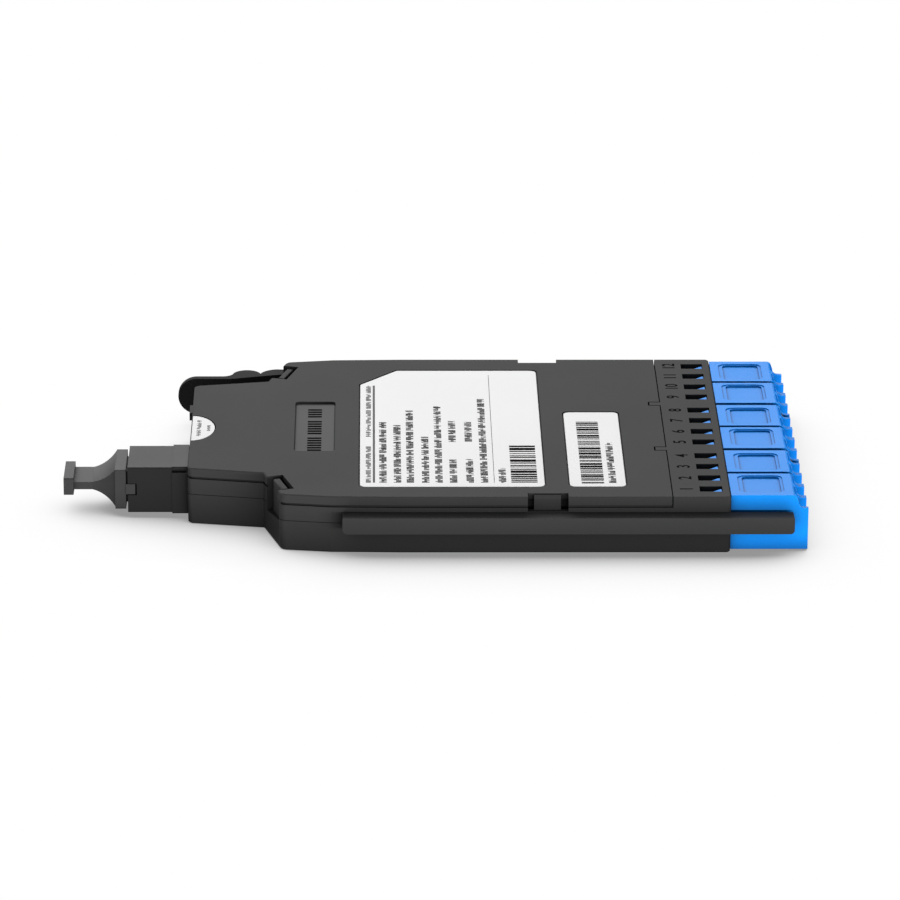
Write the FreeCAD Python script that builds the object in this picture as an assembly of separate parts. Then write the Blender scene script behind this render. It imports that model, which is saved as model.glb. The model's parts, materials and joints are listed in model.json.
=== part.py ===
"""Fibre cassette: twelve shuttered LC ports in three blue quad adapters at the front, one MPO adapter
with a dust cap at the rear, in a thin moulded housing with a slide rail along each side.

Millimetres.  +X runs from the rear to the front, +Y to the side that has the release lever, +Z up.
The origin is on the underside, on the plane of symmetry of the housing.
"""
import FreeCAD, Part
import math
import os

V = FreeCAD.Vector

# Housing
HEIGHT = 12.0                 # overall height of the housing
HALF_WIDTH = 41.25            # half the width of the housing without its rails
REAR_X = -49.65
SHOULDER_REAR = (-34.15, 27.4)     # where the rear block meets the sloping shoulder
SHOULDER_FRONT = (-30.4, 39.5)    # where the shoulder meets the side
SEAM_X = 48.45                # cover ends, bezel begins
FRONT_X = 60.15
FLOOR = 1.4
WALL = 1.5
BASE_TOP = 10.2               # the cover wraps down the side to here
SEAM_GROOVE = (0.5, 0.5)      # height and depth of the shadow gap below the cover
SEAM_GAP = 0.22               # between the cover and the bezel
PARTING_GROOVE = (0.14, 0.15)
PARTING_Z = 6.4               # widest section of the side wall, the walls draft away from it
COVER_ROOF = 10.8             # underside of the cover's top plate
OUTLINE = [(REAR_X, 24.7, 1.1), (*SHOULDER_REAR, 0.5), (*SHOULDER_FRONT, 1.5), (-20.3, 40.9, 0.0),
           (-6.0, HALF_WIDTH, 0.0), (FRONT_X, HALF_WIDTH, 0.6)]

# Slide rails
RAIL_X = (-18.0, 72.7)
RAIL_Z = (5.35, 8.8)
RAIL_REACH = 44.7             # outer face of a rail

# Snap windows of the cover, and the fingers of the base that stand in them
WINDOW_X = (19.2, 27.4)
WINDOW_DEPTH_Y = 38.9
SCREEN_Y = (37.0, 38.0)       # wall that keeps the window dark
FINGER_X = (20.5, 25.9)
FINGER_Y = (39.0, 40.15)
FINGER_TOP = 11.7
SHOULDER_CLIP = (3.3, 9.2)    # along the shoulder, from its rear corner
CLIP_GAP = 1.1
CLIP_Y = (-2.6, -1.2)          # back and face of the clip, from the shoulder inward
SHOULDER_RAMP = (1.1, 4.4)    # depth of the recess at its front end, height of the gusset there

# Front bezel
SLOT_CENTRE_X = 56.23
SLOT_SIZE = (4.6, 3.0)
BEZEL_SIDE_Z = 8.8
BEZEL_ROOF = 10.9
TONGUE = (2.3, 1.7, 13.4)     # length, width, distance from the middle
TONGUE_GAP = 0.32

# LC adapters and their ports
QUAD_PITCH = 27.07
QUAD_HALF = 12.85
PORT_OFFSETS = (-9.524, -3.274, 3.274, 9.524)
ADAPTER_X = (48.6, 60.15, 73.0, 75.75)   # tail, shoulder, top front edge, front face
HEAD_Z = (0.3, 11.9)
TAIL_Z = (FLOOR, 10.85)
FIN_HALF = 0.54               # half width of the black fins between the blue blocks
FIN_END = (74.4, 11.1)        # front end and top of a fin
MID_GROOVE = (1.1, 1.6)       # width and depth of the groove along the middle of an adapter
LIP_Z = 9.1                   # walls between the ports are scooped down to here at the front face
EASE = 0.3                    # bevel along the top front edge of an adapter
SCOOP = ((0.75, 1.3), (1.0, 0.45), (1.6, 0.1))     # (x, z) along it, from the top front edge and the lip
PORT_SIZE = 4.75
PORT_FLOOR = 2.0
LATCH_WAY = (3.4, 10.0)       # width and roof of the way for a plug's latch
MID_WALL_X = (60.3, 62.3)
BOSS_X = (57.6, 64.8)
BOSS_R = 1.5
SLEEVE_R = (0.625, 0.83)
SLEEVE_X = (58.0, 64.4)
PLUG_X = (41.0, 59.8, 61.2)   # tail of an inner plug's body, its nose, the tip of its ferrule
AXIS_Z = PORT_FLOOR + PORT_SIZE / 2

# Shutters
SHUTTER_X = 70.4
SHUTTER_Z = 7.25
SHUTTER_T = 0.4
SHUTTER_HALF = 2.3
SHUTTER_FOOT = 2.15
TRUNNION_R = 0.3
TRUNNION_CLEARANCE = 0.05

# MPO adapter, its plug and its dust cap
MPO_Y = -15.25
MPO_Z = 6.1
MPO_HALF = (6.45, 4.9)        # half width and half height of the adapter
MPO_BORE = (4.8, 3.45)
MPO_X = (-61.9, -52.9, -38.5)     # mouth, outer flange, inner end
MPO_WALL_X = (-50.8, -49.8)
CAP_CLEARANCE = 0.1
CAP_GAP = 0.4                 # between the collar of the cap and the mouth of the adapter
COLLAR_T = 2.2
EAR_Z = (-0.95, 1.25)         # ears of the cap, in the notches of the adapter's mouth
STEM_X = (-73.8, -69.2)
HANDLE_X = (-75.05, -73.05)
STEM_HALF = (4.4, 0.8)
STEM_RISE = 0.2               # the stem and handle stand this far above the axis

# Release lever
PIVOT = (-26.2, 35.9)
PIVOT_R = 1.0
LEVER_Z = (2.1, 10.0)
PADDLE_R = 3.95
PADDLE_X = -49.45
LEVER_END = -53.7

# Fibre inside
FANOUT_X = (-22.0, -12.0)
LEG_R = 0.45

# Labels
LABEL_T = 0.25
LABEL_DEPTH = 0.35
LABEL_MARGIN = 0.3
MAIN_LABEL = [(-14.5, -35.0, 1.3), (22.8, -35.0, 1.3), (22.8, 34.1, 1.3), (-6.8, 34.1, 0.8),
              (-14.5, 25.3, 0.8)]
SMALL_LABEL = [(27.9, -34.9, 1.2), (39.2, -34.9, 1.2), (39.2, 8.4, 1.2), (27.9, 8.4, 1.2)]
SEAL_CENTRE_Y = -1.0
SEAL_RADII = (5.0, 7.3)       # along X and along Y
PLAQUE = (-28.1, -19.7, 14.7, 0.5)     # X from, X to, half width, depth


# ---- helpers -------------------------------------------------------------------------------------
def box(x0, x1, y0, y1, z0, z1):
    return Part.makeBox(x1 - x0, y1 - y0, z1 - z0, V(x0, y0, z0))


def plan(z):
    return lambda a, b: V(a, b, z)


def side(y):
    return lambda a, b: V(a, y, b)


def front(x):
    return lambda a, b: V(x, a, b)


def rounded_wire(corners, place):
    """Closed wire through corners (a, b, radius), set in a plane by place(a, b)."""
    points = [place(a, b) for a, b, _ in corners]
    joints = []
    for i, (_, _, radius) in enumerate(corners):
        here = points[i]
        back = (points[i - 1] - here).normalize()
        ahead = (points[(i + 1) % len(points)] - here).normalize()
        half = back.getAngle(ahead) / 2
        run = radius / math.tan(half)
        middle = here + (back + ahead).normalize() * (radius / math.sin(half) - radius) if radius else here
        joints.append((here + back * run, middle, here + ahead * run))
    edges = []
    for i, (start, middle, end) in enumerate(joints):
        if corners[i][2]:
            edges.append(Part.Arc(start, middle, end).toShape())
        edges.append(Part.makeLine(end, joints[(i + 1) % len(joints)][0]))
    return Part.Wire(edges)


def slab(corners, place, along):
    return Part.Face(rounded_wire(corners, place)).extrude(along)


def rect(a0, a1, b0, b1, radius=0.0):
    return [(a0, b0, radius), (a1, b0, radius), (a1, b1, radius), (a0, b1, radius)]


def inset(corners, distance):
    """The anticlockwise outline moved inward by distance, with its corner radii kept."""
    moved = []
    for i, (x, y, radius) in enumerate(corners):
        here = V(x, y, 0)
        come = (here - V(*corners[i - 1][:2], 0)).normalize()
        leave = (V(*corners[(i + 1) % len(corners)][:2], 0) - here).normalize()
        n1, n2 = V(-come.y, come.x, 0), V(-leave.y, leave.x, 0)
        spot = here + (n1 + n2) * (distance / (1 + n1.dot(n2)))
        moved.append((spot.x, spot.y, radius))
    return moved


def drafted(corners, profile):
    """Stack of lofts: profile lists (height, inset) from the bottom up."""
    layers = [rounded_wire(inset(corners, d), plan(z)) for z, d in profile]
    solid = Part.makeLoft(layers[:2], True, True)
    for low, high in zip(layers[1:], layers[2:]):
        solid = solid.fuse(Part.makeLoft([low, high], True, True))
    return solid.removeSplitter()


def mirrored(shape):
    return shape.mirror(V(0, 0, 0), V(0, 1, 0))


def both_sides(shape):
    return shape.fuse(mirrored(shape))


def moved(shape, x=0.0, y=0.0, z=0.0):
    copy = shape.copy()
    copy.translate(V(x, y, z))
    return copy


def cylinder(radius, start, end):
    axis = end - start
    return Part.makeCylinder(radius, axis.Length, start, axis)


def housing_outline():
    """Anticlockwise outline of the housing seen from above."""
    near = [(x, -y, r) for x, y, r in OUTLINE]
    return near + OUTLINE[::-1]


def along_shoulder(shape):
    """Set a shape drawn along +X, with +Y outward, onto the sloping shoulder of the +Y side."""
    run = V(*SHOULDER_FRONT, 0) - V(*SHOULDER_REAR, 0)
    copy = shape.copy()
    copy.rotate(V(0, 0, 0), V(0, 0, 1), math.degrees(math.atan2(run.y, run.x)))
    return moved(copy, *SHOULDER_REAR)


# ---- housing -------------------------------------------------------------------------------------
def rail():
    """Slide rail of the +Y side, which runs on past the front as a prong."""
    corners = [(RAIL_X[0], RAIL_Z[0], 1.0), (RAIL_X[1], RAIL_Z[0], 0.8), (RAIL_X[1], RAIL_Z[1], 0.4),
               (RAIL_X[0], RAIL_Z[1], 0.3)]
    bar = slab(corners, side(HALF_WIDTH), V(0, RAIL_REACH - HALF_WIDTH, 0))
    root = slab(corners, side(HALF_WIDTH - 0.6), V(0, 0.6, 0))
    return bar.fuse(root.common(box(RAIL_X[0], FRONT_X, 0, 50, 0, HEIGHT)))


def shoulder_length():
    return math.dist(SHOULDER_REAR, SHOULDER_FRONT)


def wedge(points):
    """Solid with four flat faces between four points."""
    sides = [Part.Face(Part.makePolygon([points[i], points[j], points[k], points[i]]))
             for i, j, k in ((0, 1, 2), (0, 1, 3), (0, 2, 3), (1, 2, 3))]
    return Part.Solid(Part.Shell(sides))


def shoulder_recess():
    """Cut that sets the clip back, deeper toward the front, and leaves a rising gusset at its foot."""
    start, end, low = 0.9, shoulder_length() - 1.3, 0.5
    depth, rise = SHOULDER_RAMP
    corners = [(start, 0.0, 0), (end, -depth, 0), (end, 4.0, 0), (start, 4.0, 0)]
    gusset = wedge([V(start, 0, low), V(end, 0, low), V(end, -depth, low), V(end, -depth, rise)])
    return along_shoulder(slab(corners, plan(low), V(0, 0, 14)).cut(gusset))


def clip_slots():
    """Slots that free the clip from the wall at both of its ends and behind it."""
    start, end = SHOULDER_CLIP
    inner, outer = CLIP_Y
    wall = inner - 1.0
    left = box(start - CLIP_GAP, start, wall, 1, 4.8, 14)
    right = box(end, end + CLIP_GAP, wall, 1, 4.8, 14)
    behind = box(start - CLIP_GAP, end + CLIP_GAP, wall, inner, 4.8, 14)
    ahead = box(start - 0.01, end + 0.01, outer, 1, 4.8, 14)
    return along_shoulder(left.fuse([right, behind, ahead]))


def shoulder_clip():
    """Clip that rises through the cover, its outer top edge eased."""
    start, end = SHOULDER_CLIP
    inner, outer = CLIP_Y
    corners = [(inner, FLOOR, 0), (outer, FLOOR, 0), (outer, 11.7, 0.35), (inner, 11.7, 0.2)]
    return along_shoulder(slab(corners, front(start), V(end - start, 0, 0)))


def snap_finger():
    """Finger of the side wall that stands in the cover's window, with a barb at its top."""
    corners = [(FINGER_Y[0], 7.5, 0), (FINGER_Y[1], 7.5, 0), (FINGER_Y[1], FINGER_TOP - 0.5, 0),
               (FINGER_Y[1] - 0.5, FINGER_TOP, 0), (FINGER_Y[0], FINGER_TOP, 0.2)]
    return slab(corners, front(FINGER_X[0]), V(FINGER_X[1] - FINGER_X[0], 0, 0))


def lever_pocket():
    """Room for the lever's root in the corner of the +Y side, open through the shoulder."""
    corners = [(-36.0, 36.6, 0), (-30.0, 36.6, 0), (-29.0, 33.4, 0), (-23.6, 33.4, 0), (-23.6, 38.3, 0),
               (-27.9, 38.3, 0), (-27.9, 44.0, 0), (-36.0, 44.0, 0)]
    return slab(corners, plan(FLOOR), V(0, 0, 20))


def pocket_wall():
    """Wall that closes the lever's pocket off from the fibres."""
    corners = [(-30.6, 32.4, 0), (-22.6, 32.4, 0), (-22.6, 40.2, 0), (-28.0, 40.0, 0), (-30.6, 38.0, 0)]
    return slab(corners, plan(FLOOR), V(0, 0, BASE_TOP - FLOOR))


def partitions():
    """Ribs between the adapters, and the low bar that stops them at the rear."""
    middle = QUAD_PITCH / 2
    rib = box(ADAPTER_X[0], FRONT_X - 0.1, middle - 0.6, middle + 0.6, FLOOR, COVER_ROOF)
    bar = box(ADAPTER_X[0] - 1.2, ADAPTER_X[0], 0, 39.6, FLOOR - 0.1, PORT_FLOOR - 0.1)
    return both_sides(rib.fuse([bar, fin(middle)]))


def fin(y):
    """Black fin that fills the gap between two blue blocks, rooted in the rib behind it."""
    x1, top = FIN_END
    corners = [(FRONT_X - 1.0, HEAD_Z[0], 0), (x1, HEAD_Z[0], 0), (x1, LIP_Z, 0.8),
               (ADAPTER_X[2] - 0.6, top, 0.4), (FRONT_X, top, 0), (FRONT_X, COVER_ROOF, 0),
               (FRONT_X - 1.0, COVER_ROOF, 0)]
    return slab(corners, side(y - FIN_HALF), V(0, 2 * FIN_HALF, 0))


def window_screen():
    """Pocket behind a window: a back wall and two cheeks, up to the cover."""
    x0, x1 = WINDOW_X[0] - 0.9, WINDOW_X[1] + 0.9
    y0, y1 = SCREEN_Y
    wall = HALF_WIDTH - WALL
    block = box(x0, x1, y0, wall + 0.2, FLOOR - 0.1, BASE_TOP)
    block = block.fuse(box(x0, x1, y0, wall - 0.02, BASE_TOP, COVER_ROOF))
    return block.cut(box(x0 + 0.9, x1 - 0.9, y1, 50, FLOOR + 2.0, 20))


def ring_cut(outline, depth, z0, z1):
    """Shallow groove all round the outside of an outline."""
    outside = slab(inset(outline, -2.0), plan(z0), V(0, 0, z1 - z0))
    return outside.cut(slab(inset(outline, depth), plan(z0), V(0, 0, z1 - z0)))


def base_shell():
    profile = [(0.0, 0.32), (0.25, 0.1), (PARTING_Z, 0.0), (BASE_TOP, 0.08)]
    outline = housing_outline()
    shell = drafted(outline, profile)
    hollow = Part.Face(rounded_wire(inset(outline, WALL), plan(FLOOR))).extrude(V(0, 0, 20))
    shell = shell.cut(hollow)
    bay = box(SEAM_X - 0.5, FRONT_X + 5, -40.0, 40.0, FLOOR, 20)
    bezel_seat = box(SEAM_X, FRONT_X + 5, -50, 50, BEZEL_SIDE_Z, 20)
    mouth = box(REAR_X - 5, REAR_X + 3, MPO_Y - MPO_HALF[0], MPO_Y + MPO_HALF[0], MPO_Z - MPO_HALF[1], 20)
    window = both_sides(box(*WINDOW_X, FINGER_Y[0] - 0.9, 50, RAIL_Z[1] + 0.1, 20))
    shell = shell.cut([bay, bezel_seat, mouth])
    height, depth = SEAM_GROOVE
    seam = ring_cut(outline, depth, BASE_TOP - height, BASE_TOP + 1)
    height, depth = PARTING_GROOVE
    parting = ring_cut(outline, depth, PARTING_Z - height / 2, PARTING_Z + height / 2)
    shell = shell.cut([seam, parting.common(box(-70, RAIL_X[0] - 0.1, -60, 60, 0, 20))])
    shell = shell.fuse(both_sides(window_screen())).cut(window)
    shell = shell.fuse(pocket_wall()).cut(lever_pocket())
    shell = shell.cut(both_sides(shoulder_recess().fuse(clip_slots())))
    additions = both_sides(rail().fuse([shoulder_clip(), snap_finger()]))
    pin = cylinder(PIVOT_R, V(*PIVOT, FLOOR - 0.2), V(*PIVOT, BASE_TOP))
    return shell.fuse([additions, partitions(), pin]).removeSplitter()


def clip_opening():
    """Notch of the cover round a shoulder clip, open to the outside."""
    start, end = SHOULDER_CLIP
    return along_shoulder(box(start - CLIP_GAP, end + CLIP_GAP, -3.5, 5, 5, 20))


def label_recess(corners):
    return slab(inset(corners, -LABEL_MARGIN), plan(HEIGHT - LABEL_DEPTH), V(0, 0, 1))


def half_ellipse(grow, z, height):
    """Half-round plate at the rear edge, its flat side flush with the rear face."""
    ellipse = Part.Ellipse(V(REAR_X, SEAL_CENTRE_Y + SEAL_RADII[1] + grow, z),
                           V(REAR_X + SEAL_RADII[0] + grow, SEAL_CENTRE_Y, z), V(REAR_X, SEAL_CENTRE_Y, z))
    disc = Part.Face(Part.Wire(ellipse.toShape())).extrude(V(0, 0, height))
    return disc.common(box(REAR_X + 0.3, 0, -30, 30, 0, 20))


def tongue(grow):
    length, width, middle = TONGUE
    return both_sides(box(SEAM_X - length - grow, SEAM_X + 0.01, middle - width / 2 - grow,
                          middle + width / 2 + grow, COVER_ROOF, HEIGHT))


def top_cover():
    profile = [(BASE_TOP, 0.08), (11.8, 0.12), (HEIGHT, 0.35)]
    outline = housing_outline()
    ahead = box(SEAM_X - SEAM_GAP, 80, -50, 50, 0, 20)
    cover = drafted(outline, profile).cut(ahead)
    hollow = Part.Face(rounded_wire(inset(outline, WALL), plan(5))).extrude(V(0, 0, COVER_ROOF - 5))
    x0, x1, half, depth = PLAQUE
    plaque = slab(rect(x0, x1, -half, half, 0.9), plan(HEIGHT - depth), V(0, 0, 1))
    mouth = box(REAR_X - 5, REAR_X + 3, MPO_Y - MPO_HALF[0], MPO_Y + MPO_HALF[0], 0, MPO_Z + MPO_HALF[1])
    window = both_sides(box(*WINDOW_X, WINDOW_DEPTH_Y, 50, 0, 20))
    labels = [label_recess(MAIN_LABEL), label_recess(SMALL_LABEL)]
    seal = half_ellipse(0.25, HEIGHT - LABEL_DEPTH, 1)
    notches = [both_sides(clip_opening()), tongue(TONGUE_GAP).cut(ahead)]
    cover = cover.cut([hollow, plaque, mouth, window, seal] + notches + labels)
    rib = box(REAR_X - 0.5, REAR_X + 0.6, 8.2, 12.8, BASE_TOP, HEIGHT - 0.1)
    return cover.fuse(rib).removeSplitter()


def port_centres():
    """Y of each port, counted from the -Y side."""
    return [quad * QUAD_PITCH + offset for quad in (-1, 0, 1) for offset in PORT_OFFSETS]


def front_bezel():
    plate = drafted(housing_outline(), [(BEZEL_SIDE_Z, 0.05), (11.8, 0.12), (HEIGHT, 0.35)])
    plate = plate.common(box(SEAM_X, FRONT_X, -50, 50, 0, 20))
    hollow = box(SEAM_X - 1, FRONT_X + 1, -40.0, 40.0, 0, BEZEL_ROOF)
    half_x, half_y = SLOT_SIZE[0] / 2, SLOT_SIZE[1] / 2
    slots = [box(SLOT_CENTRE_X - half_x, SLOT_CENTRE_X + half_x, y - half_y, y + half_y, BEZEL_ROOF - 1, 20)
             for y in port_centres()]
    return plate.cut([hollow] + slots).fuse(tongue(0.0)).removeSplitter()


# ---- LC adapters ---------------------------------------------------------------------------------
def adapter_head():
    """Blue block outside the housing, with its front scooped back above the lip."""
    _, x0, x_top, x1 = ADAPTER_X
    low, high = HEAD_Z
    start, middle, end = [V(x_top + x, 0, LIP_Z + z) for x, z in SCOOP]
    outline = [V(x_top + EASE, 0, high - EASE), V(x_top - EASE, 0, high), V(x0, 0, high), V(x0, 0, low),
               V(x1, 0, low), V(x1, 0, LIP_Z), end]
    straight = Part.makePolygon([start] + outline)
    arc = Part.Arc(end, middle, start).toShape()
    head = Part.Face(Part.Wire(straight.Edges + [arc])).extrude(V(0, 2 * QUAD_HALF, 0))
    return moved(head, y=-QUAD_HALF)


def port_cut(y):
    """Everything taken out for one port: both cavities, latch ways, shutter pocket and bearings."""
    x0, _, x_top, x1 = ADAPTER_X
    half, latch_half = PORT_SIZE / 2, LATCH_WAY[0] / 2
    roof = PORT_FLOOR + PORT_SIZE
    inner = box(x0 - 1, MID_WALL_X[0], y - half, y + half, PORT_FLOOR, roof)
    inner_latch = box(x0 - 1, MID_WALL_X[0], y - latch_half, y + latch_half, roof - 1, LATCH_WAY[1])
    outer = box(MID_WALL_X[1], x1 + 1, y - half, y + half, PORT_FLOOR, roof)
    outer_latch = box(SHUTTER_X - 5.4, x1 + 1, y - latch_half, y + latch_half, roof - 1, LATCH_WAY[1])
    open_top = box(x_top, x1 + 1, y - half, y + half, roof - 1, 20)
    fold = box(SHUTTER_X - 5.4, SHUTTER_X + 0.6, y - half, y + half, roof - 1, SHUTTER_Z + 0.55)
    reach = SHUTTER_HALF + 0.42
    bearing = cylinder(TRUNNION_R + TRUNNION_CLEARANCE, V(SHUTTER_X, y - reach, SHUTTER_Z),
                       V(SHUTTER_X, y + reach, SHUTTER_Z))
    return inner.fuse([inner_latch, outer, outer_latch, open_top, fold, bearing])


def port_boss(y):
    start, end = V(BOSS_X[0], y, AXIS_Z), V(BOSS_X[1], y, AXIS_Z)
    return cylinder(BOSS_R, start, end)


def snap_lug(y):
    """Wedge under a bezel slot: it rises toward the front and holds the adapter in."""
    x1 = SLOT_CENTRE_X + SLOT_SIZE[0] / 2 - 0.15
    top = HEIGHT - 0.2
    corners = [(x1 - 3.0, TAIL_Z[1] - 0.6, 0), (x1, TAIL_Z[1] - 0.6, 0), (x1, top, 0), (x1 - 0.3, top, 0),
               (x1 - 3.0, TAIL_Z[1], 0)]
    return slab(corners, side(y - 1.3), V(0, 1.6, 0))


def panel_cut(y):
    """Stepped shallow recess in the top of one duplex pair."""
    outer = slab(rect(61.9, 71.0, y - 4.9, y + 4.9, 1.5), plan(HEAD_Z[1] - 0.2), V(0, 0, 1))
    inner = slab(rect(62.8, 70.4, y - 4.5, y + 4.5, 0.9), plan(HEAD_Z[1] - 0.5), V(0, 0, 1))
    return outer.fuse(inner)


def lc_adapter(middle):
    x0, x1 = ADAPTER_X[:2]
    body = adapter_head().fuse(box(x0, x1, 0.1 - QUAD_HALF, QUAD_HALF - 0.1, *TAIL_Z))
    body = body.cut([port_cut(y) for y in PORT_OFFSETS] + [panel_cut(-6.4), panel_cut(6.4)])
    width, depth = MID_GROOVE
    groove = box(x1, ADAPTER_X[2] + 0.9, -width / 2, width / 2, HEAD_Z[1] - depth, 20)
    body = body.cut(groove)
    bores = [cylinder(SLEEVE_R[1], V(BOSS_X[0] - 1, y, AXIS_Z), V(BOSS_X[1] + 1, y, AXIS_Z))
             for y in PORT_OFFSETS]
    body = body.fuse([port_boss(y) for y in PORT_OFFSETS]).cut(bores)
    body = body.fuse([snap_lug(y) for y in PORT_OFFSETS])
    return moved(body.removeSplitter(), y=middle)


def shutter(y):
    """Flap that hangs across a port on two small trunnions."""
    half = SHUTTER_HALF
    flap = box(SHUTTER_X - SHUTTER_T / 2, SHUTTER_X + SHUTTER_T / 2, y - half, y + half,
               SHUTTER_FOOT, SHUTTER_Z)
    barrel = cylinder(0.45, V(SHUTTER_X, y - half, SHUTTER_Z), V(SHUTTER_X, y + half, SHUTTER_Z))
    reach = half + 0.35
    trunnion = cylinder(TRUNNION_R, V(SHUTTER_X, y - reach, SHUTTER_Z), V(SHUTTER_X, y + reach, SHUTTER_Z))
    return flap.fuse([barrel, trunnion]).removeSplitter()


def sleeves(middle):
    """Split ceramic sleeves of one adapter, one solid a port."""
    solids = []
    for offset in PORT_OFFSETS:
        y = middle + offset
        start, end = [V(x, y, AXIS_Z) for x in SLEEVE_X]
        tube = cylinder(SLEEVE_R[1], start, end).cut(cylinder(SLEEVE_R[0], start, end))
        solids.append(tube.cut(box(*SLEEVE_X, y - 0.1, y + 0.1, AXIS_Z, AXIS_Z + 2)))
    return Part.makeCompound(solids)


def inner_plug(y):
    """LC plug in the back of a port: body, latch, ferrule and boot."""
    x_tail, x_nose, x_tip = PLUG_X
    body = box(x_tail, x_nose, y - 2.3, y + 2.3, PORT_FLOOR, PORT_FLOOR + 4.6)
    latch = slab([(47.5, PORT_FLOOR + 4.6, 0), (57.5, PORT_FLOOR + 4.6, 0), (48.5, PORT_FLOOR + 6.9, 0),
                  (47.5, PORT_FLOOR + 6.9, 0)], side(y - 1.4), V(0, 2.8, 0))
    socket = cylinder(BOSS_R + 0.15, V(BOSS_X[0] - 0.2, y, AXIS_Z), V(x_nose + 1, y, AXIS_Z))
    ferrule = cylinder(SLEEVE_R[0], V(BOSS_X[0] - 1, y, AXIS_Z), V(x_tip, y, AXIS_Z))
    boot = Part.makeCone(0.9, 1.7, 7.0, V(x_tail - 7.0, y, AXIS_Z), V(1, 0, 0))
    return body.fuse([latch, boot]).cut(socket).fuse(ferrule).removeSplitter()


# ---- MPO adapter, plug and dust cap --------------------------------------------------------------
def mpo_block(x0, x1, half_y, half_z, radius=0.0):
    corners = rect(MPO_Y - half_y, MPO_Y + half_y, MPO_Z - half_z, MPO_Z + half_z, radius)
    return slab(corners, front(x0), V(x1 - x0, 0, 0))


def mpo_adapter():
    x_mouth, x_flange, x_inner = MPO_X
    body = mpo_block(x_mouth, REAR_X + WALL, *MPO_HALF, 0.3)
    inside = mpo_block(REAR_X + WALL, x_inner, MPO_HALF[0], MPO_Z - FLOOR)
    flange = mpo_block(x_flange, REAR_X, MPO_HALF[0] + 0.2, MPO_HALF[1] + 0.2, 0.3)
    lock = box(REAR_X + WALL, REAR_X + WALL + 1.6, MPO_Y - 7.0, MPO_Y + 7.0, FLOOR, COVER_ROOF - 0.1)
    body = body.fuse([flange, inside, lock])
    outer = mpo_block(x_mouth - 1, MPO_WALL_X[0], *MPO_BORE, 0.6)
    inner = mpo_block(MPO_WALL_X[1], x_inner + 1, *MPO_BORE, 0.6)
    window = mpo_block(MPO_WALL_X[0] - 1, MPO_WALL_X[1] + 1, 3.4, 1.5, 0.4)
    half_y = MPO_HALF[0]
    notch = box(x_mouth - 1, x_mouth + 1.85, half_y - 2, half_y + 1, EAR_Z[0] - 0.15, EAR_Z[1] + 0.15)
    slot = both_sides_of_mpo(box(x_flange, REAR_X - 0.2, half_y - 0.7, half_y + 1, 3.85, 4.55))
    return body.cut([outer, inner, window, both_sides_of_mpo(notch), slot]).removeSplitter()


def both_sides_of_mpo(shape):
    return moved(both_sides(shape), 0, MPO_Y, MPO_Z)


def mpo_plug():
    """Plug on the inner side of the MPO adapter, with its ferrule and boot."""
    body = mpo_block(-49.5, -33.0, MPO_BORE[0] - 0.15, MPO_BORE[1], 0.6)
    grip = mpo_block(-38.3, -31.5, 5.8, 4.4, 0.8)
    ferrule = mpo_block(-51.1, -49.5, 3.2, 1.25)
    boot = mpo_block(-31.5, -27.5, 2.6, 1.6, 0.5)
    return body.fuse([grip, ferrule, boot]).removeSplitter()


def dust_cap():
    """Cap with a hollow plug, a collar, a waisted stem and a T handle."""
    face = MPO_X[0] - CAP_GAP
    collar = mpo_block(face - COLLAR_T, face, 6.2, 4.25, 0.3)
    plug = mpo_block(face, face + 5.3, MPO_BORE[0] - CAP_CLEARANCE, MPO_BORE[1] - CAP_CLEARANCE, 0.5)
    hollow = mpo_block(face + 1.4, face + 10, 3.6, 2.3, 0.4)
    ear = box(face, MPO_X[0] + 1.5, MPO_HALF[0] - 1.3, MPO_HALF[0] - 0.1, *EAR_Z)
    stem = mpo_block(*STEM_X, *STEM_HALF)
    handle = mpo_block(*HANDLE_X, 5.2, 1.85, 0.45)
    waist = waisted(face - COLLAR_T)
    tail = waist.fuse([stem, handle])
    tail.translate(V(0, 0, STEM_RISE))
    solid = collar.fuse([plug, tail, both_sides_of_mpo(ear)])
    return solid.cut(hollow).removeSplitter()


def scooped(start, end, half_wide, half_slim):
    """Plan of a flare that narrows from half_wide at start to half_slim at end along two concave arcs."""
    bend = start + 0.52 * (end - start)
    waist = half_slim + 0.28 * (half_wide - half_slim)
    upper = Part.Arc(V(start, half_wide, 0), V(bend, waist, 0), V(end, half_slim, 0))
    lower = Part.Arc(V(end, -half_slim, 0), V(bend, -waist, 0), V(start, -half_wide, 0))
    edges = [upper.toShape(), Part.makeLine(V(end, half_slim, 0), V(end, -half_slim, 0)), lower.toShape(),
             Part.makeLine(V(start, -half_wide, 0), V(start, half_wide, 0))]
    return Part.Face(Part.Wire(edges))


def waisted(start):
    """Concave flare between the collar and the stem: the common part of two scooped profiles."""
    end = STEM_X[1]
    wide = scooped(start + 0.01, end, 5.9, STEM_HALF[0]).extrude(V(0, 0, 20))
    tall = scooped(start + 0.01, end, 4.0, STEM_HALF[1]).extrude(V(0, 0, 20))
    tall.rotate(V(0, 0, 0), V(1, 0, 0), 90)
    return moved(moved(wide, z=-10).common(moved(tall, y=10)), 0, MPO_Y, MPO_Z)


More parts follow.
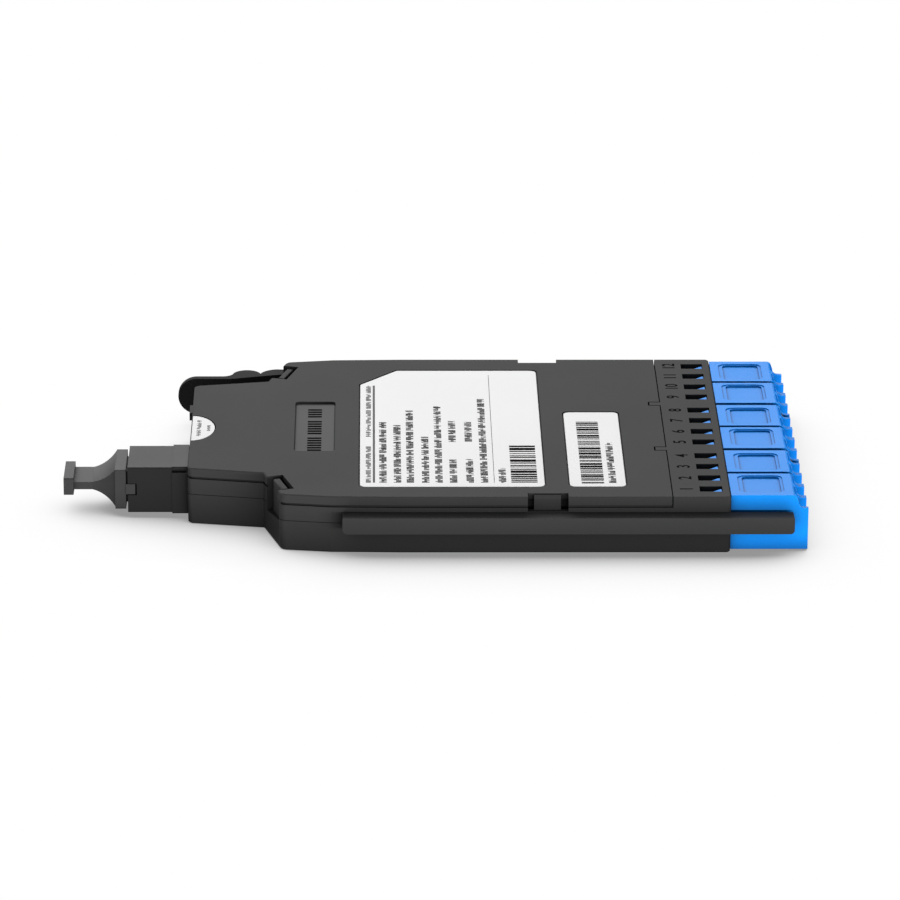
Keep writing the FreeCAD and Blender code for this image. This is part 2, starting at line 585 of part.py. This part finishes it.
# ---- release lever -------------------------------------------------------------------------------
def release_lever():
    """Sprung lever beside the rear block: eye, detent bumps and a round-ended thumb paddle."""
    outer = [Part.makeLine(V(LEVER_END, 36.0, 0), V(-44.0, 36.0, 0)),
             Part.Arc(V(-44.0, 36.0, 0), V(-42.8, 36.3, 0), V(-41.8, 37.3, 0)).toShape(),
             Part.Arc(V(-41.8, 37.3, 0), V(-38.9, 39.9, 0), V(-35.9, 37.7, 0)).toShape(),
             Part.Arc(V(-35.9, 37.7, 0), V(-34.5, 39.6, 0), V(-32.4, 40.4, 0)).toShape(),
             Part.makeLine(V(-32.4, 40.4, 0), V(-28.4, 40.1, 0)),
             Part.makeLine(V(-28.4, 40.1, 0), V(-28.4, 38.0, 0)),
             Part.makeLine(V(-28.4, 38.0, 0), V(-26.2, 37.9, 0)),
             Part.makeLine(V(-26.2, 37.9, 0), V(-27.4, 36.2, 0)),
             Part.makeLine(V(-27.4, 36.2, 0), V(-30.6, 37.3, 0)),
             Part.makeLine(V(-30.6, 37.3, 0), V(-35.6, 36.1, 0)),
             Part.makeLine(V(-35.6, 36.1, 0), V(-42.0, 34.4, 0)),
             Part.makeLine(V(-42.0, 34.4, 0), V(LEVER_END, 34.4, 0)),
             Part.makeLine(V(LEVER_END, 34.4, 0), V(LEVER_END, 36.0, 0))]
    low, high = LEVER_Z
    arm = moved(Part.Face(Part.Wire(outer)).extrude(V(0, 0, high - low)), z=low)
    middle = (low + high) / 2
    end = cylinder(PADDLE_R, V(PADDLE_X, 30, middle), V(PADDLE_X, 40, middle))
    arm = arm.common(end.fuse(box(PADDLE_X, 0, 30, 50, 0, 20)))
    eye = cylinder(2.1, V(*PIVOT, 3.6), V(*PIVOT, high))
    bore = cylinder(PIVOT_R + 0.05, V(*PIVOT, 0), V(*PIVOT, 20))
    spring_room = cylinder(2.3, V(*PIVOT, 0), V(*PIVOT, 3.6))
    return arm.cut(spring_room).fuse(eye).cut(bore).removeSplitter()


def lever_spring():
    """Torsion spring round the pivot pin, below the eye, as a plain ring."""
    low, high = V(*PIVOT, FLOOR), V(*PIVOT, 3.4)
    return cylinder(1.9, low, high).cut(cylinder(PIVOT_R + 0.1, low, high))


# ---- fibre ---------------------------------------------------------------------------------------
def fanout_block():
    return box(*FANOUT_X, MPO_Y - 7.0, MPO_Y + 7.0, FLOOR, 7.4)


def fibre_ribbon():
    return box(-27.5, FANOUT_X[0], MPO_Y - 2.4, MPO_Y + 2.4, MPO_Z - 0.3, MPO_Z + 0.3)


def fibre_leg(index, y_end):
    """Buffered fibre from the fan-out block to the boot of one inner plug: an S of two arcs.

    The fibres leave the block in two rows, and those that swing widest turn earliest, so none cross.
    """
    x0, x1, stub = FANOUT_X[1], 34.0, 0.8
    row_z = AXIS_Z + (0.95 if index % 2 else -0.95)
    start, finish = V(x0, MPO_Y + (index - 5.5) * 1.05, row_z), V(x1, y_end, AXIS_Z)
    ahead = V(1, 0, 0)
    a, b = start + ahead * stub, finish - ahead * stub
    run = b.x - a.x
    across = V(0, b.y - a.y, b.z - a.z)
    rise = across.Length
    across.normalize()
    share = 0.5 - 0.028 * max(0, index - 5)
    turn = 2 * math.atan(rise / run)
    radii = [run / math.sin(turn) * share, run / math.sin(turn) * (1 - share)]
    half_arcs = [ahead * (r * math.sin(turn / 2)) + across * (r * (1 - math.cos(turn / 2))) for r in radii]
    middle = a + ahead * (radii[0] * math.sin(turn)) + across * (radii[0] * (1 - math.cos(turn)))
    path = Part.Wire([Part.makeLine(start, a), Part.Arc(a, a + half_arcs[0], middle).toShape(),
                      Part.Arc(middle, b - half_arcs[1], b).toShape(), Part.makeLine(b, finish)])
    section = Part.Wire(Part.makeCircle(LEG_R, start, ahead))
    return path.makePipeShell([section], True, False)


# ---- labels --------------------------------------------------------------------------------------
def label(corners):
    return slab(corners, plan(HEIGHT - LABEL_DEPTH), V(0, 0, LABEL_T))


def seal_label():
    return half_ellipse(0.0, HEIGHT - LABEL_DEPTH, LABEL_T)


def build():
    parts = {"base_shell": base_shell(), "top_cover": top_cover(), "front_bezel": front_bezel(),
             "mpo_adapter": mpo_adapter(), "mpo_plug": mpo_plug(), "dust_cap": dust_cap(),
             "release_lever": release_lever(), "lever_spring": lever_spring(),
             "fanout_block": fanout_block(), "fibre_ribbon": fibre_ribbon(),
             "main_label": label(MAIN_LABEL), "small_label": label(SMALL_LABEL), "seal_label": seal_label()}
    for quad in (-1, 0, 1):
        number = quad + 2
        parts[f"lc_adapter_{number}"] = lc_adapter(quad * QUAD_PITCH)
        parts[f"split_sleeves_{number}"] = sleeves(quad * QUAD_PITCH)
    for index, y in enumerate(port_centres()):
        parts[f"shutter_{index + 1:02d}"] = shutter(y)
        parts[f"inner_plug_{index + 1:02d}"] = inner_plug(y)
        parts[f"fibre_leg_{index + 1:02d}"] = fibre_leg(index, y)
    return parts


def main():
    os.makedirs("parts", exist_ok=True)
    for name, shape in build().items():
        shape.exportStep(f"parts/{name}.step")
        print(f"{name:20s} solids {len(shape.Solids)}  valid {shape.isValid()}  volume {shape.Volume:9.2f}")


main()
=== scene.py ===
import json
import math
import random

import bpy
from mathutils import Matrix, Vector


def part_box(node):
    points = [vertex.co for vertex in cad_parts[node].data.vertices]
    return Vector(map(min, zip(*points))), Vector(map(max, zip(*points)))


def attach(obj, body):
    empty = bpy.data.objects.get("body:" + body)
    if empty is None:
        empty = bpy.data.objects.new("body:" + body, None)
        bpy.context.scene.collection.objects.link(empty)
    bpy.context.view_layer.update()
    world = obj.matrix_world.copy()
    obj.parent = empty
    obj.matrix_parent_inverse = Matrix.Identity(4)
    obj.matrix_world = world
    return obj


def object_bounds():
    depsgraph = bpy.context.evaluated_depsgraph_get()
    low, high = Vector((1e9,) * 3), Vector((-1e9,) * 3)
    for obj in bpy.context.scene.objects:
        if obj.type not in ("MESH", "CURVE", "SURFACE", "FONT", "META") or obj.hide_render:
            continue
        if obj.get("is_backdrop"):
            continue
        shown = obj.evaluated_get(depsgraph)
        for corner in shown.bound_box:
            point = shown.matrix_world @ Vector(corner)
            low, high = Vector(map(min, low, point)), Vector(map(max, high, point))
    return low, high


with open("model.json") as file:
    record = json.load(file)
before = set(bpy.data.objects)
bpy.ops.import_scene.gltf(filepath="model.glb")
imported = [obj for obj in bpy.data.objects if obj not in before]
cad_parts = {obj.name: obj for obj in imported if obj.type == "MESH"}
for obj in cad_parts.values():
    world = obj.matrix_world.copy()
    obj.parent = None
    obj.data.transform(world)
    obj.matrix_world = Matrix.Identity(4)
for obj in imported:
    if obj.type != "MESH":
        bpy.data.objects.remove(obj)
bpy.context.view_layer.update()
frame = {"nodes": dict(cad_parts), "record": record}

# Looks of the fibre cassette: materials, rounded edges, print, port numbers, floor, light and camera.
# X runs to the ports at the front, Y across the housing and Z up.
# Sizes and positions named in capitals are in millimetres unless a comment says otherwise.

MM = 0.001
BODY = "cassette"


# ---- materials -----------------------------------------------------------------------------
DRIFT_SCALE = 55.0            # slow drifts of tone and gloss over a face
GLOSS_DRIFT = 0.04            # how far the roughness drifts either way
PIT_SCALE = 5200.0            # fine grain that the mould leaves
PIT_DEPTH = 0.03
STREAK_SCALE = 900.0
STEEL_ROUGHNESS = (0.25, 0.45)


def grey(value):
    return (value, value, value)


def new_material(name):
    material = bpy.data.materials.new(name)
    material.use_nodes = True
    nodes, links = material.node_tree.nodes, material.node_tree.links
    return material, nodes, links, nodes["Principled BSDF"]


def noise(nodes, links, scale, detail):
    place = nodes.new("ShaderNodeTexCoord")
    texture = nodes.new("ShaderNodeTexNoise")
    texture.inputs["Scale"].default_value = scale
    texture.inputs["Detail"].default_value = detail
    links.new(place.outputs["Object"], texture.inputs["Vector"])
    return texture


def blend(nodes, links, factor, first, second):
    """Colour that goes from first to second with the factor; second may be a socket."""
    mix = nodes.new("ShaderNodeMix")
    mix.data_type = "RGBA"
    links.new(factor, mix.inputs["Factor"])
    mix.inputs["A"].default_value = (*first, 1)
    if isinstance(second, tuple):
        mix.inputs["B"].default_value = (*second, 1)
    else:
        links.new(second, mix.inputs["B"])
    return mix.outputs["Result"]


def spread_over(nodes, links, factor, low, high):
    """Number that goes from low to high with the factor."""
    reach = nodes.new("ShaderNodeMapRange")
    reach.inputs["To Min"].default_value = low
    reach.inputs["To Max"].default_value = high
    links.new(factor, reach.inputs["Value"])
    return reach.outputs["Result"]


def calculate(nodes, links, operation, first, second):
    """Math node on a socket and a second value, which is a number or a socket too."""
    step = nodes.new("ShaderNodeMath")
    step.operation = operation
    links.new(first, step.inputs[0])
    if isinstance(second, float):
        step.inputs[1].default_value = second
    else:
        links.new(second, step.inputs[1])
    return step.outputs["Value"]


def openness(nodes, links, reach, power):
    """1 on an open face, lower in grooves and corners that are narrower than the reach; it sets where shade
    is painted.
    """
    occlusion = nodes.new("ShaderNodeAmbientOcclusion")
    occlusion.inputs["Distance"].default_value = reach * MM
    return calculate(nodes, links, "POWER", occlusion.outputs["AO"], power)


def moulded(name, colour, roughness, spread=0.06, grain=0.12, specular=0.5, painted_shade=None):
    """Moulded plastic: a fine spark-eroded grain, slow drifts of tone and gloss, painted shade in grooves
    and corners.

    The last argument gives the share of colour that painted shade takes from a deep groove, then the reach
    and power of openness.
    """
    material, nodes, links, shader = new_material(name)
    shader.inputs["Specular IOR Level"].default_value = specular
    drift = noise(nodes, links, DRIFT_SCALE, 3.0)
    dark = tuple(c * (1 - spread) for c in colour)
    light = tuple(min(1.0, c * (1 + spread)) for c in colour)
    tone = blend(nodes, links, drift.outputs["Fac"], dark, light)
    if painted_shade:
        share, reach, power = painted_shade
        # Painted shade: the colour darkens where grooves, corners and walls near other parts and the floor
        # hide the open sky.
        unshaded = openness(nodes, links, reach, power)
        tone = blend(nodes, links, unshaded, tuple(c * (1 - share) for c in colour), tone)
    links.new(tone, shader.inputs["Base Color"])
    gloss = spread_over(nodes, links, drift.outputs["Fac"], roughness - GLOSS_DRIFT, roughness + GLOSS_DRIFT)
    links.new(gloss, shader.inputs["Roughness"])
    pits = noise(nodes, links, PIT_SCALE, 2.0)
    bump = nodes.new("ShaderNodeBump")
    bump.inputs["Strength"].default_value = grain
    bump.inputs["Distance"].default_value = PIT_DEPTH * MM
    links.new(pits.outputs["Fac"], bump.inputs["Height"])
    links.new(bump.outputs["Normal"], shader.inputs["Normal"])
    return material


def brushed(name, colour):
    """Bare metal with fine streaks of gloss."""
    material, nodes, links, shader = new_material(name)
    shader.inputs["Base Color"].default_value = (*colour, 1)
    shader.inputs["Metallic"].default_value = 1.0
    streaks = noise(nodes, links, STREAK_SCALE, 4.0)
    gloss = spread_over(nodes, links, streaks.outputs["Fac"], *STEEL_ROUGHNESS)
    links.new(gloss, shader.inputs["Roughness"])
    return material


# The last entry of a look, where given, is painted shade: share of colour lost in a deep groove, its reach
# and power.
PLASTICS = {
    "housing_black": dict(colour=grey(0.043), roughness=0.75, specular=0.10, painted_shade=(0.95, 12.0, 1.35)),
    "lever_black": dict(colour=grey(0.024), roughness=0.60, specular=0.02, painted_shade=(0.9, 3.0, 1.2)),
    "adapter_blue": dict(colour=(0.0, 0.295, 1.0), roughness=0.50, spread=0.03, grain=0.04, specular=0.11,
                         painted_shade=(0.94, 4.0, 1.6)),
    # shutter_blue is a dark navy copy of the adapter blue: painted shade for the inside of the ports.
    "shutter_blue": dict(colour=(0.0, 0.045, 0.24), roughness=0.45, spread=0.03, grain=0.05, specular=0.2),
    "mpo_black": dict(colour=grey(0.009), roughness=0.60, specular=0.17, painted_shade=(0.95, 8.0, 1.3)),
    "cap_grey": dict(colour=grey(0.039), roughness=0.60, specular=0.17, painted_shade=(0.9, 6.0, 1.3)),
    "label_white": dict(colour=grey(0.80), roughness=0.5, spread=0.01, grain=0.02, specular=0.3),
    "ceramic_white": dict(colour=(0.85, 0.85, 0.82), roughness=0.15, spread=0.01, grain=0.0),
    "fibre_jacket": dict(colour=(0.75, 0.62, 0.06), roughness=0.4, spread=0.02, grain=0.02),
}
MATERIALS = {slot: moulded(slot, **look) for slot, look in PLASTICS.items()}
MATERIALS["spring_steel"] = brushed("spring_steel", (0.55, 0.55, 0.56))

INK = moulded("ink_black", (0.016, 0.015, 0.015), 0.9, spread=0.1, grain=0.0, specular=0.0)
GREY_INK = moulded("ink_grey", grey(0.20), 0.8, spread=0.1, grain=0.0, specular=0.0)
NUMERAL = moulded("numeral_black", grey(0.008), 1.0, spread=0.1, grain=0.0, specular=0.0)
# A lighter grey than the housing and a little smoother: partly real gloss, partly painted sheen of the
# plaque's face.
PLAQUE_SHEEN_GREY = moulded("plaque_painted_sheen", grey(0.085), 0.70, spread=0.04, grain=0.06, specular=0.10)


# ---- CAD nodes -----------------------------------------------------------------------------
EDGE_WIDTH = {"housing_black": 0.16, "lever_black": 0.14, "adapter_blue": 0.14, "mpo_black": 0.12,
              "cap_grey": 0.14, "shutter_blue": 0.06}
JOIN_DISTANCE = 0.0005
SHARP_FROM = 35               # degrees between two faces from which their edge is rounded


def round_edges(node, width):
    """Joins the mesh where its faces meet and rounds each sharp edge a little, as moulded edges are."""
    weld = node.modifiers.new("join", "WELD")
    weld.merge_threshold = JOIN_DISTANCE * MM
    bevel = node.modifiers.new("edge_rounding", "BEVEL")
    bevel.width = width * MM
    bevel.segments = 2
    bevel.limit_method = "ANGLE"
    bevel.angle_limit = math.radians(SHARP_FROM)
    bevel.harden_normals = False
    bevel.use_clamp_overlap = True


def dress_cad_nodes():
    for part in frame["record"]["subparts"]:
        node = frame["nodes"][part["node"]]
        slot = part["material_slot"]
        node.data.materials.clear()
        node.data.materials.append(MATERIALS[slot])
        if slot in EDGE_WIDTH:
            round_edges(node, EDGE_WIDTH[slot])


# ---- print ---------------------------------------------------------------------------------
PRINT_SEED = 7
PRINT_LIFT = 0.012            # of the ink above its label, and of the plaque's face above the recess
TEXT_HEIGHT = 1.5
WORD_LENGTH = (2.0, 5.5)
WORD_GAP = (0.25, 0.5)
STROKE_WIDTH = (0.22, 0.42)
STROKE_GAP = (0.08, 0.18)
STRIPE_WIDTHS = (0.4, 0.6, 0.6, 0.9, 1.4)      # as shares of the pitch
STRIPE_GAPS = (0.35, 0.4, 0.8)

TEXT_START = -32.7            # all lines of the main label start here in Y
# Lines of print: centre in X, then start and end in Y
MAIN_LINES = [(-9.85, TEXT_START, 3.0), (-6.9, TEXT_START, 0.7), (-4.3, TEXT_START, 9.6),
              (-1.2, TEXT_START, -6.2), (1.5, TEXT_START, 12.0), (4.45, TEXT_START, -19.5),
              (4.45, -9.2, 3.1), (7.8, TEXT_START, -19.3), (7.8, -9.0, 2.6),
              (10.7, TEXT_START, 16.5), (14.35, TEXT_START, -24.5)]
HEAD_LINES = [(-12.8, TEXT_START, -11.8), (-12.8, -6.2, 24.8)]
HEAD_HEIGHT = 1.05
SMALL_LINE = (36.6, -32.9, -9.8)
SEAL_LINES = [((-47.9, -5.6, 3.6), 0.9), ((-45.9, -2.6, 0.8), 0.7)]     # each with its height
# Rectangles: ends in X, then in Y
RULES = [(-11.9, -11.45, TEXT_START, 24.9), (12.6, 12.72, TEXT_START, 31.3)]
MAIN_STRIPES = (16.1, 21.4, TEXT_START, -11.2)
MAIN_PITCH = 1.0
SMALL_STRIPES = (30.3, 34.85, -33.2, 2.9)
SMALL_PITCH = 0.8

PLAQUE = (-27.85, -19.95, -14.45, 14.45)
PLAQUE_DEPTH = 0.5            # of the recess in the cover, as in the CAD
PLAQUE_BARS = (-25.4, -22.5)  # ends of the bars in X
PLAQUE_WORDS = ((-13.4, -5.0), (-3.6, 4.8), (6.4, 11.9))     # groups of bars in Y
BAR_PITCH = 1.4
BAR_SHARE = 0.62              # of the pitch that a bar fills


def add_piece(name, mesh, material):
    mesh.materials.clear()
    mesh.materials.append(material)
    piece = bpy.data.objects.new(name, mesh)
    bpy.context.scene.collection.objects.link(piece)
    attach(piece, BODY)


def flat_bars(name, bars, z, material):
    """One mesh of flat rectangles (x0, x1, y0, y1) at height z."""
    vertices, faces = [], []
    for x0, x1, y0, y1 in bars:
        first = len(vertices)
        vertices += [(x * MM, y * MM, z * MM) for x, y in ((x0, y0), (x1, y0), (x1, y1), (x0, y1))]
        faces.append(tuple(range(first, first + 4)))
    mesh = bpy.data.meshes.new(name)
    mesh.from_pydata(vertices, [], faces)
    add_piece(name, mesh, material)


def strokes(rng, line, height):
    """A line of generic print: short strokes side by side, with gaps like those between words."""
    x, y, end = line
    bars = []
    while y < end:
        word_end = min(end, y + rng.uniform(*WORD_LENGTH))
        while y < word_end:
            width = rng.uniform(*STROKE_WIDTH)
            low = rng.choice((0.0, 0.0, 0.0, 0.3)) * height
            high = height - rng.choice((0.0, 0.0, 0.3)) * height
            bars.append((x + height / 2 - high, x + height / 2 - low, y, min(y + width, word_end)))
            y += width + rng.uniform(*STROKE_GAP)
        y += rng.uniform(*WORD_GAP)
    return bars


def stripes(rng, field, pitch):
    """Generic stripes of uneven width that fill a rectangle along Y."""
    x0, x1, y, end = field
    bars = []
    while y < end - pitch / 3:
        width = pitch * rng.choice(STRIPE_WIDTHS)
        bars.append((x0, x1, y, min(y + width, end)))
        y += width + pitch * rng.choice(STRIPE_GAPS)
    return bars


def top_of(node):
    _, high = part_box(node)
    return high[2] / MM


def print_labels():
    rng = random.Random(PRINT_SEED)
    z = top_of("main_label") + PRINT_LIFT
    bars = []
    for line in MAIN_LINES:
        bars += strokes(rng, line, TEXT_HEIGHT)
    flat_bars("label_lines", bars, z, INK)
    bars = []
    for line in HEAD_LINES:
        bars += strokes(rng, line, HEAD_HEIGHT)
    flat_bars("label_rules", bars + RULES, z, GREY_INK)
    flat_bars("label_stripes", stripes(rng, MAIN_STRIPES, MAIN_PITCH), z, INK)

    z = top_of("small_label") + PRINT_LIFT
    bars = stripes(rng, SMALL_STRIPES, SMALL_PITCH) + strokes(rng, SMALL_LINE, TEXT_HEIGHT)
    flat_bars("small_label_stripes", bars, z, INK)

    z = top_of("seal_label") + PRINT_LIFT
    bars = []
    for line, height in SEAL_LINES:
        bars += strokes(rng, line, height)
    flat_bars("seal_lines", bars, z, GREY_INK)


def plaque():
    """The smoother face of the recess in the cover, given a lighter grey that paints its sheen, with generic
    dark bars in three groups.
    """
    z = top_of("top_cover") - PLAQUE_DEPTH + PRINT_LIFT
    flat_bars("plaque_face", [PLAQUE], z, PLAQUE_SHEEN_GREY)
    bars = []
    for start, end in PLAQUE_WORDS:
        count = round((end - start) / BAR_PITCH)
        pitch = (end - start) / count
        bars += [(*PLAQUE_BARS, start + i * pitch, start + (i + BAR_SHARE) * pitch) for i in range(count)]
    flat_bars("plaque_bars", bars, z + PRINT_LIFT, NUMERAL)


# ---- port numbers --------------------------------------------------------------------------
ADAPTERS = 3
ADAPTER_PITCH = 27.07
PORT_OFFSETS = (-9.524, -3.274, 3.274, 9.524)      # of the ports from the middle of their adapter
NUMERAL_X = 48.45 + 3.0       # from the seam between cover and bezel to the middle of a number
NUMERAL_SIZE = 3.7
NUMERAL_WEIGHT = 0.045        # by which the strokes of the plain font are thickened
NUMERAL_SPACING = 0.95
NUMERAL_LIFT = 0.01


def numerals():
    """Port numbers beside the bezel slots, read from the rear."""
    top = top_of("front_bezel") * MM + NUMERAL_LIFT * MM
    for port in range(ADAPTERS * len(PORT_OFFSETS)):
        adapter, place = divmod(port, len(PORT_OFFSETS))
        y = (ADAPTER_PITCH * (adapter - 1) + PORT_OFFSETS[place]) * MM
        curve = bpy.data.curves.new(f"numeral_{port + 1}", "FONT")
        curve.body = str(port + 1)
        curve.size = NUMERAL_SIZE * MM
        curve.offset = NUMERAL_WEIGHT * MM
        curve.align_x = "CENTER"
        curve.align_y = "CENTER"
        curve.space_character = NUMERAL_SPACING
        text = bpy.data.objects.new(f"numeral_{port + 1}", curve)
        bpy.context.scene.collection.objects.link(text)
        bpy.context.view_layer.update()
        mesh = bpy.data.meshes.new_from_object(text)
        bpy.data.objects.remove(text)
        mesh.transform(Matrix.Translation((NUMERAL_X * MM, y, top)) @ Matrix.Rotation(math.pi / 2, 4, "Z"))
        add_piece(f"port_number_{port + 1}", mesh, NUMERAL)


# ---- floor ---------------------------------------------------------------------------------
FLOOR_HALF = 6.0              # metres
FLOOR_DROP = 0.05             # keeps the floor out of the plane of the underside
PAPER = 0.85
SHADE_FROM = (0.0, 0.35, 0.94)     # direction whose light the object takes from the floor
SHADE_REACH = 25
SHADE_POWER = 1.9
SHADE_GAIN = 1.18
SHADE_MOST = 0.70             # share of light that the darkest floor loses


def seen_directly(nodes, links):
    """1 where a camera, glossy or transmission ray looks, else 0."""
    path = nodes.new("ShaderNodeLightPath")
    total = path.outputs["Is Camera Ray"]
    for kind in ("Is Glossy Ray", "Is Transmission Ray"):
        total = calculate(nodes, links, "MAXIMUM", total, path.outputs[kind])
    return total


def inverse(nodes, links, value):
    flip = nodes.new("ShaderNodeInvert")
    links.new(value, flip.inputs["Color"])
    return flip.outputs["Color"]


def floor_material():
    """White paper seen with a painted shadow: darker where the object hides the light from SHADE_FROM."""
    material, nodes, links, shader = new_material("floor_white")
    shader.inputs["Base Color"].default_value = (*grey(PAPER), 1)
    shader.inputs["Roughness"].default_value = 1.0
    shader.inputs["Specular IOR Level"].default_value = 0.0
    toward_light = nodes.new("ShaderNodeCombineXYZ")
    for axis, share in zip("XYZ", SHADE_FROM):
        toward_light.inputs[axis].default_value = share
    # Painted shadow: ambient occlusion toward SHADE_FROM darkens the paper that camera and reflected rays
    # see.
    open_sky = nodes.new("ShaderNodeAmbientOcclusion")
    open_sky.inputs["Distance"].default_value = SHADE_REACH * MM
    open_sky.samples = 32
    links.new(toward_light.outputs["Vector"], open_sky.inputs["Normal"])
    hidden = inverse(nodes, links, open_sky.outputs["Color"])
    deep = calculate(nodes, links, "POWER", hidden, SHADE_POWER)
    lost = calculate(nodes, links, "MULTIPLY", deep, SHADE_GAIN)
    lost = calculate(nodes, links, "MINIMUM", lost, SHADE_MOST)
    painted_shadow_paper = nodes.new("ShaderNodeEmission")
    links.new(inverse(nodes, links, lost), painted_shadow_paper.inputs["Color"])
    choose = nodes.new("ShaderNodeMixShader")
    links.new(seen_directly(nodes, links), choose.inputs["Fac"])
    links.new(shader.outputs["BSDF"], choose.inputs[1])
    links.new(painted_shadow_paper.outputs["Emission"], choose.inputs[2])
    links.new(choose.outputs["Shader"], nodes["Material Output"].inputs["Surface"])
    return material


def floor():
    low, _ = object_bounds()
    size, z = FLOOR_HALF, low[2] - FLOOR_DROP * MM
    corners = [(-size, -size, z), (size, -size, z), (size, size, z), (-size, size, z)]
    mesh = bpy.data.meshes.new("floor")
    mesh.from_pydata(corners, [], [(0, 1, 2, 3)])
    mesh.materials.append(floor_material())
    plane = bpy.data.objects.new("floor", mesh)
    bpy.context.scene.collection.objects.link(plane)
    plane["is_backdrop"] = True


# ---- light and camera ----------------------------------------------------------------------
WORLD_LIGHT = 0.30            # strength of the white world on the object; where it is seen it is 1
LAMP_DISTANCE = 1.6           # metres
# Name, direction, width and height in metres, power in watts, share of it in highlights
LAMPS = (("back_key", (-0.30, 0.80, 0.60), (1.8, 0.8), 27.5, 0.2),
         ("front_fill", (0.4, -1.0, 0.04), (1.6, 0.1), 25, 0.1))

CAMERA_ELEVATION, CAMERA_YAW, CAMERA_ROLL = 20.565, 0.866, 0.278      # degrees
CAMERA_AIM = (4.175, 1.783, 6.0)
CAMERA_DISTANCE = 1158.5
CAMERA_LENS, CAMERA_SENSOR = 222.6, 36.0


def aim_from(direction, distance):
    """Matrix of a lamp that stands at distance along direction and faces the middle of the frame."""
    away = Vector(direction).normalized()
    matrix = away.to_track_quat("Z", "Y").to_matrix().to_4x4()
    matrix.translation = away * distance
    return matrix


def lights():
    world = bpy.data.worlds.new("soft_white")
    world.use_nodes = True
    nodes, links = world.node_tree.nodes, world.node_tree.links
    nodes["Background"].inputs["Color"].default_value = (1, 1, 1, 1)
    level = spread_over(nodes, links, seen_directly(nodes, links), WORLD_LIGHT, 1.0)
    links.new(level, nodes["Background"].inputs["Strength"])
    bpy.context.scene.world = world
    for name, direction, size, power, glint in LAMPS:
        lamp = bpy.data.lights.new(name, "AREA")
        lamp.shape = "RECTANGLE"
        lamp.size, lamp.size_y = size
        lamp.energy = power
        lamp.specular_factor = glint
        holder = bpy.data.objects.new(name, lamp)
        holder.matrix_world = aim_from(direction, LAMP_DISTANCE)
        bpy.context.scene.collection.objects.link(holder)
    bpy.context.scene.view_settings.view_transform = "Standard"


def camera():
    """Long-lens camera, a little above the near side and turned very slightly to the front."""
    elevation, yaw, roll = (math.radians(a) for a in (CAMERA_ELEVATION, CAMERA_YAW, CAMERA_ROLL))
    level = math.cos(elevation)
    ahead = Vector((math.sin(yaw) * level, math.cos(yaw) * level, -math.sin(elevation)))
    right = ahead.cross(Vector((0, 0, 1))).normalized()
    up = right.cross(ahead)
    right, up = right * math.cos(roll) + up * math.sin(roll), up * math.cos(roll) - right * math.sin(roll)
    data = bpy.data.cameras.new("camera")
    data.sensor_width = CAMERA_SENSOR
    data.lens = CAMERA_LENS
    holder = bpy.data.objects.new("camera", data)
    holder.matrix_world = Matrix((right, up, -ahead)).transposed().to_4x4()
    holder.matrix_world.translation = Vector(CAMERA_AIM) * MM - ahead * CAMERA_DISTANCE * MM
    bpy.context.scene.collection.objects.link(holder)
    bpy.context.scene.camera = holder


dress_cad_nodes()
print_labels()
plaque()
numerals()
floor()
lights()
camera()
